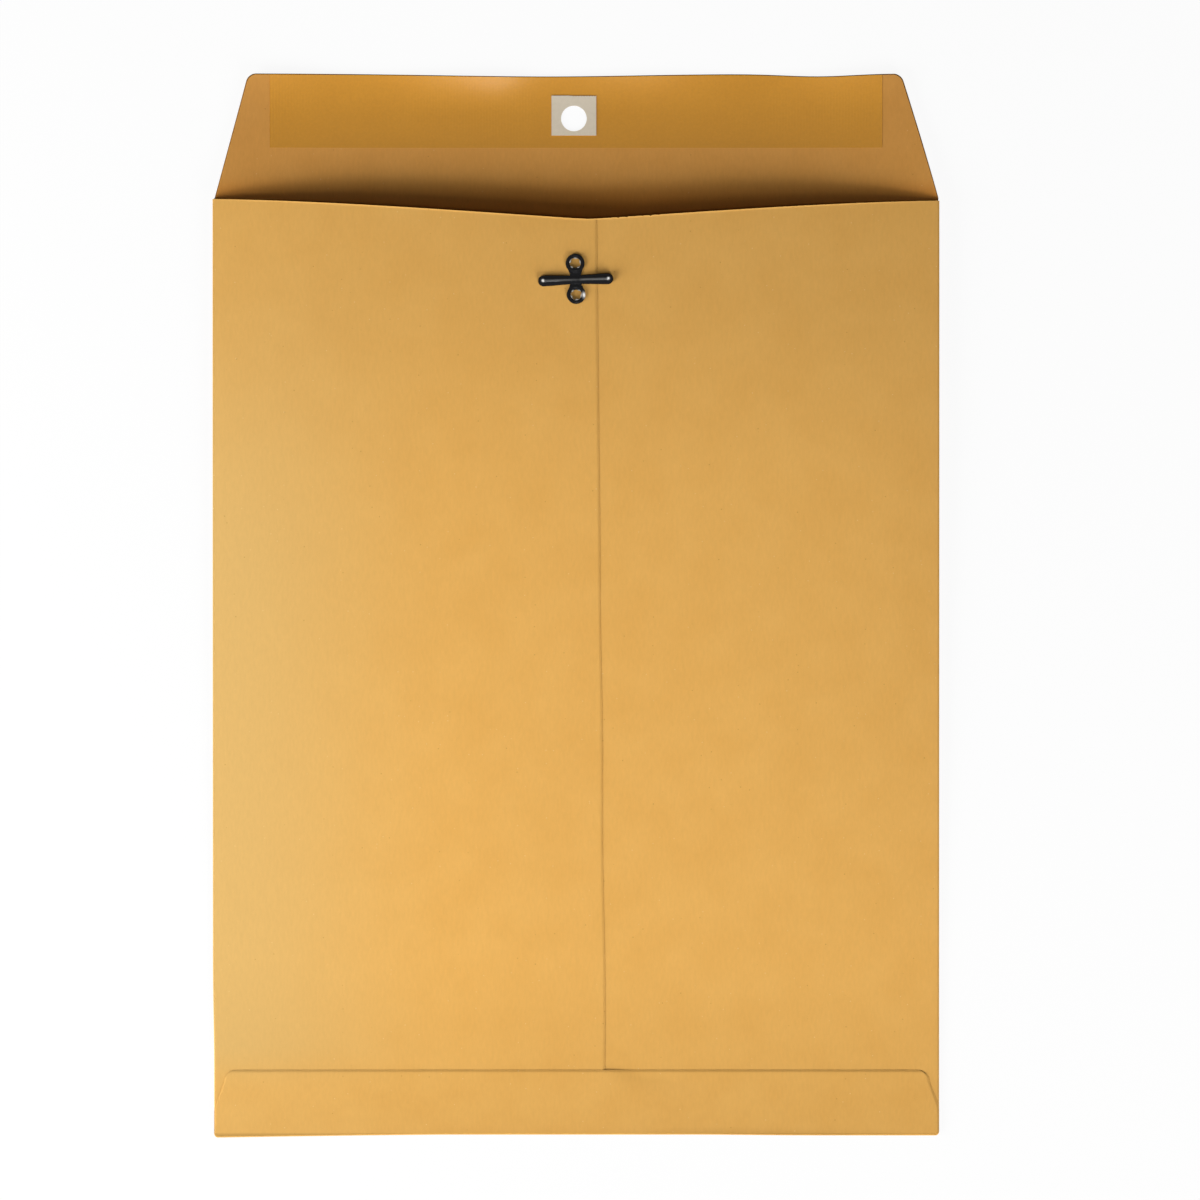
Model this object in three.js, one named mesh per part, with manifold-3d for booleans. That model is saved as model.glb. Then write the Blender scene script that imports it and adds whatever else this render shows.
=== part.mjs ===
// A kraft clasp envelope, lying on its front with its seam side up and its seal flap open.
// Millimetres. +X is across the envelope, +Y runs from its bottom fold to its flap and +Z is up.
// The origin is on the table, under the middle of the envelope with its flap open.
import * as THREE from "three";
import { mergeVertices } from "three/addons/utils/BufferGeometryUtils.js";
import Module from "manifold-3d";

// The pocket
const pocketWidth = 255;
const pocketLength = 328.6;
const paper = 0.16;
const mouthGape = 5; // clear height inside, in the middle of the mouth
const bottomGape = 0.15;
const swellLength = 290; // from the bottom fold to where the pocket is fully open
const frontFlatWidth = 120; // how much of the front lies flat on the table
const frontLiftPower = 1.8; // how late the front lifts towards its side folds
const crownPower = 5; // how late the back comes down to its side folds
const cornerRadius = 1.4; // bottom corners

// The throat, where the two back panels stop short of the flap's fold
const throatDepth = 7.2;
const throatPointX = 4;
const throatSkew = 0.6; // how much lower the right panel's corner is cut
const throatStart = 0.12; // how steeply the cut leaves the side folds
const throatFall = 0.61; // how soon it then turns down to its point

// The centre seam, where the left back panel lies over the right one
const seamX = 7.5; // its edge, at the clasp
const seamLean = 0.0101; // how far the edge leans for each millimetre down
const seamOverlap = 15.5;
const seamStepGap = 0.6; // past the seam's edge, before the bottom flap eases down
const seamStepWidth = 40;
const seamGlueWidth = 10;
const seamGlueInset = 6; // from the throat and from the bottom fold

// The bottom flap, folded up over both back panels
const bottomFlapHeight = 22.7;
const bottomFlapStraight = 9.7; // height of its full width, before its sides slant in
const bottomFlapSlant = 3.4; // how far each side slants in
const bottomFlapRadius = 4;
const bottomGlueWidth = 12;
const bottomGlueInset = 4;

// The seal flap, its gum and the punched hole with its patch
const flapHeight = 44;
const flapSlant = 11.8; // how far each side slants in
const flapRadius = 2.6;
const flapSettlePower = 1.5; // how soon the open flap settles on the table
const gumHeight = 26;
const gumInset = 8.2; // from the flap's top corners
const holeFromTip = 15.7;
const holeX = -0.75;
const holeDiameter = 9;
const patchWidth = 15.7;
const patchHeight = 14;
const patchAboveHole = 1;

// The clasp
const metal = 0.35;
const claspX = -0.1;
const claspTurn = THREE.MathUtils.degToRad(2);
const ringSpacing = 11.1;
const ringDiameter = 6.7;
const ringHeight = 0.65;
const eyeletBore = 3.9;
const eyeletWall = 0.2;
const clinchReach = 0.9; // how far the petals are turned out behind the paper
const clinchPetals = 6;
const strapWidth = 3.6;
const strapNeck = 2.9; // narrower where the wings bend
const neckAngle = THREE.MathUtils.degToRad(50); // how far down its ring the strap's edge runs on
const wingSpan = 26.4; // from tip to tip
const wingRootWidth = 3;
const wingTipWidth = 3.95;
const wingHeight = 1.25;
const wingShoulder = 1.6; // length over which a wing rises from its flat root
const wingEndAngle = THREE.MathUtils.degToRad(80); // how far its domed end is carried round

// Thin layers and clearances
const glue = 0.05;
const gum = 0.07;
const patch = 0.12;
const slip = 0.05; // between layers that lie on each other
const foldGap = 0.3; // between the front and the seal flap, at the crease
const bendGap = 0.3; // between the strap and a wing
const eyeletClearance = 0.1;

// Smoothness
const foldSteps = 4;
const cornerSteps = 4;
const curveSteps = 5;
const roundSteps = 32;
const swellRows = 14;
const mouthRows = 3;
const flapRowCount = 6;
const frontSideColumns = 6;
const backColumns = 12;
const backColumnEase = 1.6; // closer together towards the side fold
const bottomFlapColumnCount = 18;
const channelSteps = 10;
const wingRows = 12;

const glueLine = glue + 2 * slip;
const bottomY = -(pocketLength + flapHeight) / 2;
const foldY = bottomY + pocketLength;
const tipY = foldY + flapHeight;
const claspFromFold = flapHeight - holeFromTip; // the hole comes down over the clasp
const claspY = foldY - claspFromFold;

// Folded flat, the pocket is three sheets and a glue line thick, and its folds are as tight as that.
const sideFoldRadius = (3 * paper + glueLine + bottomGape) / 2;
const bottomFoldRadius = sideFoldRadius + (glueLine + paper) / 2;
const edgeX = pocketWidth / 2 - sideFoldRadius;
const backEndY = bottomY + bottomFoldRadius + cornerRadius + foldGap;

// From 0 at the bottom fold to 1 where the pocket is fully open.
const swell = (y) => THREE.MathUtils.smoothstep(y, bottomY, bottomY + swellLength);

const gape = (y) => bottomGape + (mouthGape - bottomGape) * swell(y);
const rightCrest = (y) => 2 * paper + gape(y);
const leftCrest = (y) => rightCrest(y) + glueLine + paper;

// The side folds lie halfway up the pocket, so it opens like a lens.
const sideLift = (y) => leftCrest(y) / 2 - sideFoldRadius;

// Underside of the front: flat in the middle, and lifting towards its side folds.
function frontUnder(x, y) {
  const flat = frontFlatWidth / 2;
  const out = THREE.MathUtils.clamp((Math.abs(x) - flat) / (edgeX - flat), 0, 1);
  return sideLift(y) * out ** frontLiftPower;
}

// Top of a back panel that rises from its side fold to the given crest.
function backTop(x, y, crest) {
  const side = sideLift(y) + 2 * sideFoldRadius;
  const crown = 1 - Math.min(1, Math.abs(x) / edgeX) ** crownPower;
  return side + (crest(y) - side) * crown;
}

// The back as the bottom flap lies on it. Past the seam's edge it eases down to the right panel.
function backUnderFlap(x, y) {
  const stepX = seamEdge(y) + seamStepGap;
  const past = THREE.MathUtils.smoothstep(x, stepX, stepX + seamStepWidth);
  return THREE.MathUtils.lerp(backTop(x, y, leftCrest), backTop(x, y, rightCrest), past);
}

const bottomFlapUnder = (x, y) => backUnderFlap(x, y) + glueLine;

// The throat's cut leaves each side fold almost along the crease and steepens towards its point.
const throatCut = new THREE.CubicBezierCurve(
  new THREE.Vector2(0, 0),
  new THREE.Vector2(1 / 3, throatStart),
  new THREE.Vector2(2 / 3, throatFall),
  new THREE.Vector2(1, 1),
);

function throatY(x) {
  const side = Math.sign(x - throatPointX) || 1;
  const reach = THREE.MathUtils.clamp((side * edgeX - x) / (side * edgeX - throatPointX), 0, 1);
  const skew = side > 0 ? throatSkew : 0;
  return foldY - foldGap / 2 - skew - (throatDepth - skew) * throatCut.getPoint(reach).y;
}

const seamEdge = (y) => seamX + seamLean * (claspY - y);

// How far a bottom corner's rounding lifts the bottom fold at x.
const cornerX = pocketWidth / 2 - cornerRadius;
function cornerLift(x) {
  const out = THREE.MathUtils.clamp(Math.abs(x) - cornerX, 0, cornerRadius);
  return cornerRadius - Math.sqrt(cornerRadius ** 2 - out ** 2);
}

// Numbers from a to b, both included, in equal steps.
const steps = (a, b, count) => Array.from({ length: count + 1 }, (_, i) => a + ((b - a) * i) / count);
const laterSteps = (a, b, count) => steps(a, b, count).slice(1);

// The same, but closer together at both ends.
const easedSteps = (a, b, count) =>
  steps(0, Math.PI, count).map((t) => a + ((b - a) * (1 - Math.cos(t))) / 2);

// A closed thin solid. face(u, v, 1) is a point on its outer side and face(u, v, 0) the one behind it.
function sheet(us, vs, face) {
  const across = us.length;
  const along = vs.length;
  const positions = [];
  for (const side of [0, 1]) {
    for (const v of vs) {
      for (const u of us) positions.push(...face(u, v, side));
    }
  }
  const at = (i, j, side) => side * across * along + j * across + i;
  const index = [];
  const quad = (a, b, c, d) => index.push(a, b, c, a, c, d);
  const lastI = across - 1;
  const lastJ = along - 1;
  for (let j = 0; j < lastJ; j += 1) {
    for (let i = 0; i < lastI; i += 1) {
      quad(at(i, j, 1), at(i + 1, j, 1), at(i + 1, j + 1, 1), at(i, j + 1, 1));
      quad(at(i, j, 0), at(i, j + 1, 0), at(i + 1, j + 1, 0), at(i + 1, j, 0));
    }
    quad(at(0, j, 0), at(0, j, 1), at(0, j + 1, 1), at(0, j + 1, 0));
    quad(at(lastI, j, 1), at(lastI, j, 0), at(lastI, j + 1, 0), at(lastI, j + 1, 1));
  }
  for (let i = 0; i < lastI; i += 1) {
    quad(at(i, 0, 1), at(i, 0, 0), at(i + 1, 0, 0), at(i + 1, 0, 1));
    quad(at(i, lastJ, 0), at(i, lastJ, 1), at(i + 1, lastJ, 1), at(i + 1, lastJ, 0));
  }
  const geometry = new THREE.BufferGeometry();
  geometry.setAttribute("position", new THREE.Float32BufferAttribute(positions, 3));
  geometry.setIndex(index);
  return geometry;
}

// Joining and cutting
const wasm = await Module();
wasm.setup();

function toSolid(geometry) {
  const bare = geometry.clone();
  bare.deleteAttribute("normal");
  bare.deleteAttribute("uv");
  const merged = mergeVertices(bare, 1e-4);
  return new wasm.Manifold(
    new wasm.Mesh({
      numProp: 3,
      vertProperties: new Float32Array(merged.attributes.position.array),
      triVerts: new Uint32Array(merged.index.array),
    }),
  );
}

function toGeometry(solid) {
  const cut = solid.getMesh();
  const geometry = new THREE.BufferGeometry();
  geometry.setAttribute("position", new THREE.BufferAttribute(cut.vertProperties, 3));
  geometry.setIndex(new THREE.BufferAttribute(cut.triVerts, 1));
  return geometry;
}

// A round punch along Z, as long as the pocket is wide, so that it passes right through.
function punch(x, y, diameter) {
  const tool = new THREE.CylinderGeometry(diameter / 2, diameter / 2, pocketWidth, roundSteps);
  tool.rotateX(Math.PI / 2);
  tool.translate(x, y, 0);
  return toSolid(tool);
}

function punched(geometry, tools) {
  let solid = toSolid(geometry);
  for (const tool of tools) solid = solid.subtract(tool);
  return toGeometry(solid);
}

// Materials
const kraft = new THREE.MeshStandardMaterial({ color: 0xdba653, roughness: 0.82, metalness: 0 });
const kraftInside = new THREE.MeshStandardMaterial({ color: 0xc4924f, roughness: 0.86, metalness: 0 });
const gummed = new THREE.MeshStandardMaterial({ color: 0xbe8534, roughness: 0.35, metalness: 0 });
const greyPaper = new THREE.MeshStandardMaterial({ color: 0xcbbaa2, roughness: 0.8, metalness: 0 });
const driedGlue = new THREE.MeshStandardMaterial({ color: 0xd8c9a0, roughness: 0.5, metalness: 0 });
const blackSteel = new THREE.MeshStandardMaterial({ color: 0x15161a, roughness: 0.22, metalness: 0.9 });

const envelope = new THREE.Group();
envelope.name = "clasp_envelope";

function addPiece(name, geometry, material, parent = envelope) {
  geometry.computeVertexNormals();
  const mesh = new THREE.Mesh(geometry, material);
  mesh.name = name;
  parent.add(mesh);
  return mesh;
}

// Rows along the pocket: v from 0 to 1 runs up its swelling part, and from 1 to 2 on to the edge above.
const swollenY = bottomY + swellLength;
const pocketRows = [...steps(0, 1, swellRows), ...laterSteps(1, 2, mouthRows)];
const rowY = (v, lowY, highY) =>
  v <= 1 ? lowY + (swollenY - lowY) * v : swollenY + (highY - swollenY) * (v - 1);

// The front, between the two side folds
const halfColumns = [0, ...easedSteps(frontFlatWidth / 2, cornerX, frontSideColumns), edgeX];
const frontColumns = [...halfColumns.slice(1).reverse().map((x) => -x), ...halfColumns];
addPiece(
  "front_panel",
  sheet(frontColumns, pocketRows, (x, v, side) => {
    const y = rowY(v, bottomY + cornerLift(x) + bottomFoldRadius + slip, foldY - foldGap / 2);
    return [x, y, frontUnder(x, y) + side * paper];
  }),
  kraft,
);

// A back panel with its side fold. sign is -1 for the left one and 1 for the right one.
// u runs from the inner edge, 0, to the side fold, 1, and round the fold to the front, 2.
function backPanel(sign, innerEdge, crest) {
  const panelColumns = steps(0, 1, backColumns).map((t) => 1 - (1 - t) ** backColumnEase);
  const columns = [...panelColumns, ...laterSteps(1, 2, foldSteps)];
  const us = sign > 0 ? columns : columns.reverse();
  return sheet(us, pocketRows, (u, v, side) => {
    if (u > 1) {
      const y = rowY(v, backEndY, throatY(sign * edgeX));
      const turn = Math.PI * (u - 1);
      const radius = sideFoldRadius - (1 - side) * paper;
      const z = sideLift(y) + sideFoldRadius + radius * Math.cos(turn);
      return [sign * (edgeX + radius * Math.sin(turn)), y, z];
    }
    const nominalY = rowY(v, backEndY, foldY);
    const x = innerEdge(nominalY) + (sign * edgeX - innerEdge(nominalY)) * u;
    const y = rowY(v, backEndY, throatY(x));
    return [x, y, backTop(x, y, crest) - (1 - side) * paper];
  });
}

// Holes in the paper for the clasp's two eyelets
const claspPoint = (alongStrap) =>
  new THREE.Vector2(0, alongStrap)
    .rotateAround(new THREE.Vector2(), claspTurn)
    .add(new THREE.Vector2(claspX, claspY));
const eyeletDiameter = eyeletBore + 2 * eyeletWall;
const eyeletHoles = [-1, 1].map((end) => {
  const centre = claspPoint((end * ringSpacing) / 2);
  return punch(centre.x, centre.y, eyeletDiameter + 2 * eyeletClearance);
});

addPiece("left_back_panel", punched(backPanel(-1, seamEdge, leftCrest), eyeletHoles), kraft);
addPiece(
  "right_back_panel",
  punched(backPanel(1, (y) => seamEdge(y) - seamOverlap, rightCrest), eyeletHoles),
  kraft,
);

// The line of glue that holds the left back panel down on the right one
const seamGlue = sheet(steps(-0.5, 0.5, 1), pocketRows, (u, v, side) => {
  const nominalY = rowY(v, backEndY + seamGlueInset, foldY);
  const x = seamEdge(nominalY) - seamOverlap / 2 + u * seamGlueWidth;
  const y = rowY(v, backEndY + seamGlueInset, throatY(x) - seamGlueInset);
  return [x, y, backTop(x, y, rightCrest) + slip + side * glue];
});
addPiece("seam_glue", punched(seamGlue, eyeletHoles), driedGlue);

// The bottom flap. v from 0 to 1 goes round the bottom fold, and from 1 to 2 up the flap to its free edge.
const bottomRoundY = bottomY + bottomFlapHeight - bottomFlapRadius;

function bottomHalfWidth(y) {
  const straightY = bottomY + bottomFlapStraight;
  const slant = THREE.MathUtils.clamp((y - straightY) / (bottomRoundY - straightY), 0, 1);
  const over = THREE.MathUtils.clamp((y - bottomRoundY) / bottomFlapRadius, 0, 1);
  const rounding = bottomFlapRadius * (1 - Math.sqrt(1 - over ** 2));
  return pocketWidth / 2 - bottomFlapSlant * slant - rounding;
}

const quarterTurn = laterSteps(0, Math.PI / 2, cornerSteps);
const bottomFlapHeights = [
  bottomY + bottomFlapStraight,
  bottomRoundY,
  ...quarterTurn.map((t) => bottomRoundY + bottomFlapRadius * Math.sin(t)),
];
const bottomFlapRows = [
  ...steps(0, 1, foldSteps),
  ...bottomFlapHeights.map((y) => 1 + (y - bottomY) / bottomFlapHeight),
];
const cornerColumns = quarterTurn.map((t) => cornerX + cornerRadius * Math.sin(t));
const stepX = seamEdge(bottomRoundY) + seamStepGap;
const stepColumns = [stepX, stepX + seamStepWidth / 2, stepX + seamStepWidth];
const bottomFlapColumns = [
  ...cornerColumns.toReversed().map((x) => -x),
  ...easedSteps(-cornerX, cornerX, bottomFlapColumnCount),
  ...stepColumns,
  ...cornerColumns,
]
  .toSorted((a, b) => a - b)
  .map((x) => (2 * x) / pocketWidth);
addPiece(
  "bottom_flap",
  sheet(bottomFlapColumns, bottomFlapRows, (u, v, side) => {
    const y = bottomY + (v - 1) * bottomFlapHeight;
    if (v > 1) {
      const x = u * bottomHalfWidth(y);
      return [x, y, bottomFlapUnder(x, y) + side * paper];
    }
    const x = (u * pocketWidth) / 2;
    const turn = Math.PI * v;
    const radius = bottomFoldRadius - (1 - side) * paper;
    const startY = bottomY + cornerLift(x) + bottomFoldRadius;
    const rise = bottomFlapUnder(x, startY) + paper - 2 * bottomFoldRadius;
    const z = bottomFoldRadius + rise * v - radius * Math.cos(turn);
    return [x, startY - radius * Math.sin(turn), z];
  }),
  kraft,
);

const bottomGlueTop = bottomY + bottomFlapHeight - bottomGlueInset;
const bottomGlueRows = steps(bottomGlueTop - bottomGlueWidth, bottomGlueTop, mouthRows);
const bottomGlueEnd = 1 - (4 * bottomGlueInset) / pocketWidth;
addPiece(
  "bottom_flap_glue",
  sheet(bottomFlapColumns.filter((u) => Math.abs(u) < bottomGlueEnd), bottomGlueRows, (u, y, side) => {
    const x = u * bottomHalfWidth(y);
    return [x, y, backUnderFlap(x, y) + slip + side * glue];
  }),
  driedGlue,
);

// The seal flap, open and lying on the table beyond the crease
function flapHalfWidth(y) {
  const slanted = pocketWidth / 2 - (flapSlant * (y - foldY)) / flapHeight;
  const over = THREE.MathUtils.clamp((y - (tipY - flapRadius)) / flapRadius, 0, 1);
  return slanted - flapRadius * (1 - Math.sqrt(1 - over ** 2));
}

// It keeps the front's lift at the crease and settles flat towards its tip.
function flapUnder(x, y) {
  const out = (y - foldY) / flapHeight;
  return frontUnder(x, foldY) * (1 - Math.min(1, out)) ** flapSettlePower;
}

const flapTop = (x, y) => flapUnder(x, y) + paper;
const flapRows = [
  ...steps(foldY + foldGap / 2, tipY - flapRadius, flapRowCount),
  ...quarterTurn.map((t) => tipY - flapRadius * (1 - Math.sin(t))),
];
const claspHole = punch(holeX, tipY - holeFromTip, holeDiameter);
const flapSheet = sheet(frontColumns, flapRows, (column, y, side) => {
  const x = (column / edgeX) * flapHalfWidth(y);
  return [x, y, flapUnder(x, y) + side * paper];
});
addPiece("seal_flap", punched(flapSheet, [claspHole]), kraftInside);

// The dried gum, from the flap's tip down over most of its inside
const gumHalfWidth = pocketWidth / 2 - flapSlant - gumInset;
const gumRows = steps(tipY - gumHeight, tipY - foldGap, flapRowCount);
const gumSheet = sheet(frontColumns, gumRows, (column, y, side) => {
  const x = (column / edgeX) * gumHalfWidth;
  return [x, y, flapTop(x, y) + slip + side * gum];
});
addPiece("seal_gum", punched(gumSheet, [claspHole]), gummed);

// The patch that keeps the hole from tearing, stuck on over the gum
const patchY = tipY - holeFromTip + patchAboveHole;
const patchSheet = sheet(steps(-0.5, 0.5, 2), steps(-0.5, 0.5, 2), (u, v, side) => {
  const x = holeX + u * patchWidth;
  const y = patchY + v * patchHeight;
  return [x, y, flapTop(x, y) + 2 * slip + gum + side * patch];
});
addPiece("hole_patch", punched(patchSheet, [claspHole]), greyPaper);

// The clasp has its own frame: on the paper, between its two eyelets, its strap along Y, its wings along X.
const clasp = new THREE.Group();
clasp.position.set(claspX, claspY, backTop(claspX, claspY, leftCrest));
clasp.rotation.z = claspTurn;
envelope.add(clasp);

// The strap: each quarter has a neck that the wings bend from, then widens and flares into the ring.
function strapOutline() {
  const ringY = ringSpacing / 2;
  const rim = ringDiameter / 2;
  const shoulderY = wingRootWidth / 2 + bendGap;
  const quarter = new THREE.Path();
  quarter.moveTo(strapNeck / 2, 0);
  quarter.lineTo(strapNeck / 2, wingRootWidth / 2);
  quarter.lineTo(strapWidth / 2, shoulderY);
  quarter.quadraticCurveTo(
    strapWidth / 2,
    ringY - rim,
    rim * Math.cos(neckAngle),
    ringY - rim * Math.sin(neckAngle),
  );
  quarter.lineTo((eyeletBore + ringDiameter) / 4, ringY);
  const points = quarter.getPoints(curveSteps);
  const mirrored = (sx, sy) => points.map((p) => new THREE.Vector2(sx * p.x, sy * p.y));
  return new THREE.Shape([
    ...mirrored(1, 1),
    ...mirrored(-1, 1).reverse(),
    ...mirrored(-1, -1).slice(1),
    ...mirrored(1, -1).reverse().slice(0, -1),
  ]);
}

// One eyelet: a rolled ring on the paper, a barrel through both sheets and petals clinched out behind them.
function eyelet() {
  const bore = eyeletBore / 2;
  const barrel = bore + eyeletWall;
  const rim = ringDiameter / 2;
  const behind = -(2 * paper + glueLine + slip);
  const petalTip = barrel + clinchReach;
  const profile = new THREE.Path();
  profile.moveTo(bore, behind - eyeletWall);
  profile.lineTo(petalTip, behind - eyeletWall);
  profile.lineTo(petalTip, behind - slip);
  profile.lineTo(barrel, behind);
  profile.lineTo(barrel, slip);
  profile.lineTo(rim, slip);
  profile.quadraticCurveTo(rim, ringHeight, (rim + barrel) / 2, ringHeight);
  profile.quadraticCurveTo(bore, ringHeight, bore, slip);
  const outline = [...profile.getPoints(curveSteps), new THREE.Vector2(bore, behind - eyeletWall)];
  const turned = new THREE.LatheGeometry(outline, roundSteps);
  turned.rotateX(Math.PI / 2);
  let solid = toSolid(turned);
  for (let i = 0; i < clinchPetals; i += 1) {
    const notch = new THREE.Shape([
      new THREE.Vector2(bore / 2, 0),
      new THREE.Vector2(rim + clinchReach, -clinchReach / 2),
      new THREE.Vector2(rim + clinchReach, clinchReach / 2),
    ]);
    const tool = new THREE.ExtrudeGeometry(notch, { depth: 2 * eyeletWall, bevelEnabled: false });
    tool.translate(0, 0, behind - 2 * eyeletWall);
    tool.rotateZ((2 * Math.PI * i) / clinchPetals);
    solid = solid.subtract(toSolid(tool));
  }
  return solid;
}

const plate = new THREE.ExtrudeGeometry(strapOutline(), { depth: metal, bevelEnabled: false });
plate.translate(0, 0, slip);
const ringEnds = [-ringSpacing / 2, ringSpacing / 2];
let claspBase = toSolid(plate);
for (const y of ringEnds) claspBase = claspBase.subtract(punch(0, y, eyeletBore + eyeletWall));
for (const y of ringEnds) claspBase = claspBase.add(eyelet().translate(0, y, 0));
addPiece("clasp_base", toGeometry(claspBase), blackSteel, clasp);

// A wing, pressed into a half-round channel with a domed end. sign is -1 for the left one.
// angle goes across the channel, and v from the root, 0, past the start of the round end, 1, to the tip, 2.
function wing(sign) {
  const rootX = strapNeck / 2 + bendGap;
  const endRadius = wingTipWidth / 2;
  const roundX = wingSpan / 2 - endRadius;
  const rim = slip;
  const angles = steps(-Math.PI / 2, Math.PI / 2, channelSteps);
  const vs = [...steps(0, 1, wingRows), ...laterSteps(1, 2, curveSteps)];
  return sheet(sign > 0 ? angles : angles.reverse(), vs, (angle, v, side) => {
    const turn = Math.max(0, v - 1) * wingEndAngle;
    const x = v <= 1 ? rootX + (roundX - rootX) * v : roundX + endRadius * Math.sin(turn);
    const width = THREE.MathUtils.lerp(wingRootWidth / 2, endRadius, Math.min(1, v));
    const lift = THREE.MathUtils.smoothstep(x - rootX, 0, wingShoulder) * Math.cos(turn);
    const halfWidth = width * Math.cos(turn) - (1 - side) * metal * lift;
    const crown = (wingHeight - metal) * lift;
    const top = side * (metal * (1 - lift) + metal * lift * Math.cos(angle));
    return [sign * x, -halfWidth * Math.sin(angle), rim + crown * Math.cos(angle) + top];
  });
}

addPiece("left_wing", wing(-1), blackSteel, clasp);
addPiece("right_wing", wing(1), blackSteel, clasp);

export default envelope;
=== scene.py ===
import math

import bpy
import numpy as np
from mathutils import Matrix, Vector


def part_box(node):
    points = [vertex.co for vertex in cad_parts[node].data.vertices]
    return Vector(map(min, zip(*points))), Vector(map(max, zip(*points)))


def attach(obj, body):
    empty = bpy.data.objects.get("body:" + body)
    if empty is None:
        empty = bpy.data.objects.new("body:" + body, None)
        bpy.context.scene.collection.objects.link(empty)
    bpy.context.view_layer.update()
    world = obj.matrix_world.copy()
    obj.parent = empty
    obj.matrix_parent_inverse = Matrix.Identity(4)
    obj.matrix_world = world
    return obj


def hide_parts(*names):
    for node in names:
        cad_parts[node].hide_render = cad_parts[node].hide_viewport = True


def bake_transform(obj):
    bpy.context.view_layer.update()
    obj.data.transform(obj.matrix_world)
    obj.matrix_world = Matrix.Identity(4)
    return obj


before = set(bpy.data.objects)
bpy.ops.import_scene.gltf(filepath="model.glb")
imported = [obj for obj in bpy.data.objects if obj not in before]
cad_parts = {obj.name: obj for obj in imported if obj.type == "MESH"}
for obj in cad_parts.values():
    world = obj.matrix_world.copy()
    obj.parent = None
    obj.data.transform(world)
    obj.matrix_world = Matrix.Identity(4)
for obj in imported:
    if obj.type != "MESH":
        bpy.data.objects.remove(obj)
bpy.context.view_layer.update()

# The front of the pocket and the seal flap. They are one sheet of kraft paper, cut from the roll with its
# outer side calendered smooth, and creased across where the flap folds over. The front lies flat on the
# table in its middle and lifts towards its side folds, and the open flap settles towards its tip. Here
# and below, the length or pitch of a wave is that of one radian of it.
mm = 0.001
paper = 0.16 * mm
slip = 0.03 * mm
half_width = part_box("bottom_flap")[1].x
bottom_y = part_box("bottom_flap")[0].y
fold_y = (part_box("front_panel")[1].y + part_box("seal_flap")[0].y) / 2
tip_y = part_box("seal_flap")[1].y
flap_height = tip_y - fold_y
crease_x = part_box("front_panel")[1].x
crease_width = 0.5 * mm
crease_depth = 0.06 * mm
front_flat_width = 120 * mm
front_lift_power = 1.8
flap_slant = 11.8 * mm
flap_radius = 2.6 * mm
flap_settle_power = 1.5
flap_settle_share = 0.25
tip_curl = 0.45 * mm
tip_curl_length = 14 * mm
extra_curl_x = -28 * mm
extra_curl_width = 13 * mm
tip_ripple = 0.35 * mm
ripple_length = 17 * mm
ripple_swell_length = 31 * mm
left_inset = 0.65 * mm
right_inset = 0.25 * mm
right_tip_inset = 1.3 * mm
tip_inset_power = 1.6
cut_bevel = 0.3 * mm
hole_x = -0.75 * mm
hole_from_tip = 15.7 * mm
hole_diameter = 9 * mm
punch_length = 40 * mm
cut_edge_slot = 2

# The two dips of the tip's cut edge: the middle, the width and the depth of each.
tip_dips = ((-12 * mm, 50 * mm, 1.0 * mm), (85 * mm, 17 * mm, 0.95 * mm))

# How the pocket swells from its bottom fold to its mouth, as in the solid model.
mouth_gape = 5 * mm
bottom_gape = 0.15 * mm
swell_length = 290 * mm
glue_line = 0.15 * mm
side_fold_radius = half_width - crease_x

# How the bottom fold strays, since the blank was folded a little askew.
foot_start = -160 * mm
foot_length = 26 * mm
left_stray_start = 45 * mm
left_stray_power = 1.3
left_drop = 1.05 * mm
right_stray_start = 40 * mm
right_stray_length = 45 * mm
right_drop = 0.28 * mm
left_inward = 0.45 * mm
left_inward_start = -125 * mm
left_inward_length = 40 * mm


def smooth(t):
    t = np.clip(t, 0, 1)
    return t * t * (3 - 2 * t)


def right_crest(y):
    swell = smooth((y - bottom_y) / swell_length)
    return 2 * paper + bottom_gape + (mouth_gape - bottom_gape) * swell


def left_crest(y):
    return right_crest(y) + glue_line + paper


def side_lift(y):
    return left_crest(y) / 2 - side_fold_radius


def front_under(x, y):
    flat = front_flat_width / 2
    out = np.clip((np.abs(x) - flat) / (crease_x - flat), 0, 1)
    return side_lift(y) * out**front_lift_power


def flap_under(x, y):
    """Underside of the open flap: the front's lift, settling down, and its tip's curl and ripple."""
    out = np.clip((y - fold_y) / flap_height, 0, 1)
    settled = front_under(x, fold_y) * (1 - flap_settle_share * (1 - (1 - out) ** flap_settle_power))
    rise = np.clip(1 - (tip_y - y) / tip_curl_length, 0, 1) ** 2
    extra = np.exp(-(((x - extra_curl_x) / extra_curl_width) ** 2))
    ripple = tip_ripple * np.sin(x / ripple_length + 0.8) * np.sin(x / ripple_swell_length)
    return settled + rise * (tip_curl * (1 + extra) + ripple)


def flap_half_width(y, side):
    """side is -1 for the left slanted edge and 1 for the right one, cut further in towards its tip."""
    out = np.clip((y - fold_y) / flap_height, 0, 1)
    inset = np.where(side < 0, left_inset, right_inset + right_tip_inset * out**tip_inset_power)
    over = np.clip((y - (tip_y - flap_radius)) / flap_radius, 0, 1)
    return half_width - inset - flap_slant * out - flap_radius * (1 - np.sqrt(1 - over**2))


def tip_cut(x, y):
    """How far the flap's tip edge dips, where the cut and the curl of the paper pull it in."""
    dip = sum(depth * np.exp(-(((x - middle) / width) ** 2)) for middle, width, depth in tip_dips)
    return dip * np.clip(1 - (tip_y - y) / (2 * tip_curl_length), 0, 1) ** 2


def closer_at_ends(low, high, count):
    return low + (high - low) * (1 - np.cos(np.linspace(0, math.pi, count))) / 2


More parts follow.
